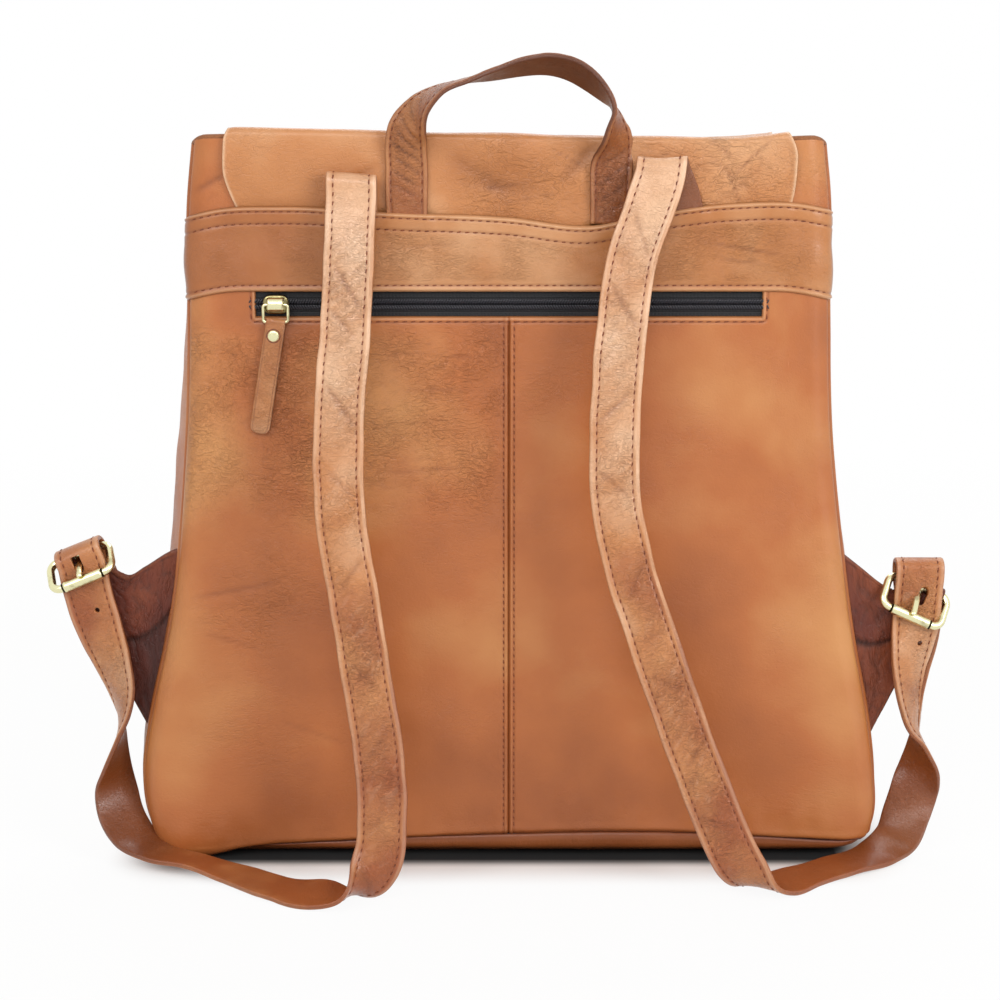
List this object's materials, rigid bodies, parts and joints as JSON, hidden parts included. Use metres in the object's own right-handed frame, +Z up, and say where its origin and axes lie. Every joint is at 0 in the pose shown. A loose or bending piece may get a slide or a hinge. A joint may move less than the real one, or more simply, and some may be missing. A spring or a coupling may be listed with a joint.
{
  "type": "backpack",
  "caption": "Soft leather flap backpack with a zipped rear pocket, a carry handle and two buckled adjustable shoulder straps.",
  "frame": {"origin": "centre of the bag's flat underside, where it stands", "axes": "+Z up the bag; -Y is the worn side with the shoulder straps and the rear zip; +Y is the flap side; +X runs to the right as the worn side is looked at"},
  "size_m": [0.4704, 0.1943, 0.4139],
  "materials": {
    "body_leather": "semi-aniline cowhide, softly glossy, natural grain with pull-up creases",
    "flap_leather": "single-ply cowhide with raw cut edges",
    "strap_leather": "folded and stitched cowhide",
    "lining_cotton": "plain woven cotton",
    "zip_tape": "woven polyester tape",
    "zip_coil": "nylon coil",
    "antique_brass": "antique brass plating, polished high spots",
    "base_board": "fibre stiffener",
    "snap_steel": "plated magnetic snap"
  },
  "bodies": {
    "root": {"back_panel_left": "body_leather", "back_panel_right": "body_leather", "back_upper_panel": "body_leather", "back_yoke_band": "body_leather", "gusset_left": "body_leather", "gusset_right": "body_leather", "front_panel": "body_leather", "base_panel": "body_leather", "rim_facing": "body_leather", "flap_back": "flap_leather", "shoulder_strap_left": "strap_leather", "shoulder_strap_right": "strap_leather", "side_tab_left": "strap_leather", "side_tab_right": "strap_leather", "handle_end_left": "strap_leather", "handle_end_right": "strap_leather", "lining": "lining_cotton", "zip_pocket": "lining_cotton", "zip_tape_upper": "zip_tape", "zip_tape_lower": "zip_tape", "zip_coil": "zip_coil", "buckle_frame_left": "antique_brass", "buckle_frame_right": "antique_brass", "base_board": "base_board", "snap_socket": "snap_steel"},
    "slider": {"zip_slider": "antique_brass"},
    "pull_ring": {"zip_pull_ring": "antique_brass"},
    "pull_tab": {"zip_pull_tab": "strap_leather", "zip_pull_rivet": "antique_brass"},
    "flap_top": {"flap_top": "flap_leather"},
    "flap_front": {"flap_front": "flap_leather", "snap_stud": "snap_steel"},
    "handle": {"carry_handle": "strap_leather"},
    "prong_left": {"buckle_prong_left": "antique_brass"},
    "prong_right": {"buckle_prong_right": "antique_brass"},
    "roller_left": {"buckle_roller_left": "antique_brass"},
    "roller_right": {"buckle_roller_right": "antique_brass"}
  },
  "joints": [
    {"name": "zip_slide", "type": "slide", "parent": "root", "child": "slider", "axis": [1, 0, 0], "range_m": [0, 0.232]},
    {"name": "pull_lift", "type": "hinge", "parent": "slider", "child": "pull_ring", "pos_m": [-0.1165, -0.06055, 0.2902], "axis": [-1, 0, 0], "range_deg": [0, 120]},
    {"name": "tab_lift", "type": "hinge", "parent": "pull_ring", "child": "pull_tab", "pos_m": [-0.1165, -0.06055, 0.2816], "axis": [-1, 0, 0], "range_deg": [0, 50]},
    {"name": "flap_lift", "type": "hinge", "parent": "root", "child": "flap_top", "pos_m": [0, -0.059, 0.3752], "axis": [1, 0, 0], "range_deg": [0, 85]},
    {"name": "flap_unfold", "type": "hinge", "parent": "flap_top", "child": "flap_front", "pos_m": [0, 0.03405, 0.3762], "axis": [1, 0, 0], "range_deg": [0, 90]},
    {"name": "handle_fold", "type": "hinge", "parent": "root", "child": "handle", "pos_m": [0, -0.0629, 0.35385], "axis": [1, 0, 0], "range_deg": [0, 60]},
    {"name": "prong_left_lift", "type": "hinge", "parent": "root", "child": "prong_left", "pos_m": [-0.22333, -0.0386, 0.15821], "axis": [-0.9272, 0, -0.3746], "range_deg": [0, 8]},
    {"name": "prong_right_lift", "type": "hinge", "parent": "root", "child": "prong_right", "pos_m": [0.21514, -0.0426, 0.14149], "axis": [-0.9135, 0, 0.4067], "range_deg": [0, 8]},
    {"name": "roller_left_turn", "type": "hinge", "parent": "root", "child": "roller_left", "pos_m": [-0.219, -0.0524, 0.1475], "axis": [0.9272, 0, 0.3746], "continuous": true},
    {"name": "roller_right_turn", "type": "hinge", "parent": "root", "child": "roller_right", "pos_m": [0.209, -0.0524, 0.1277], "axis": [0.9135, 0, -0.4067], "continuous": true}
  ]
}
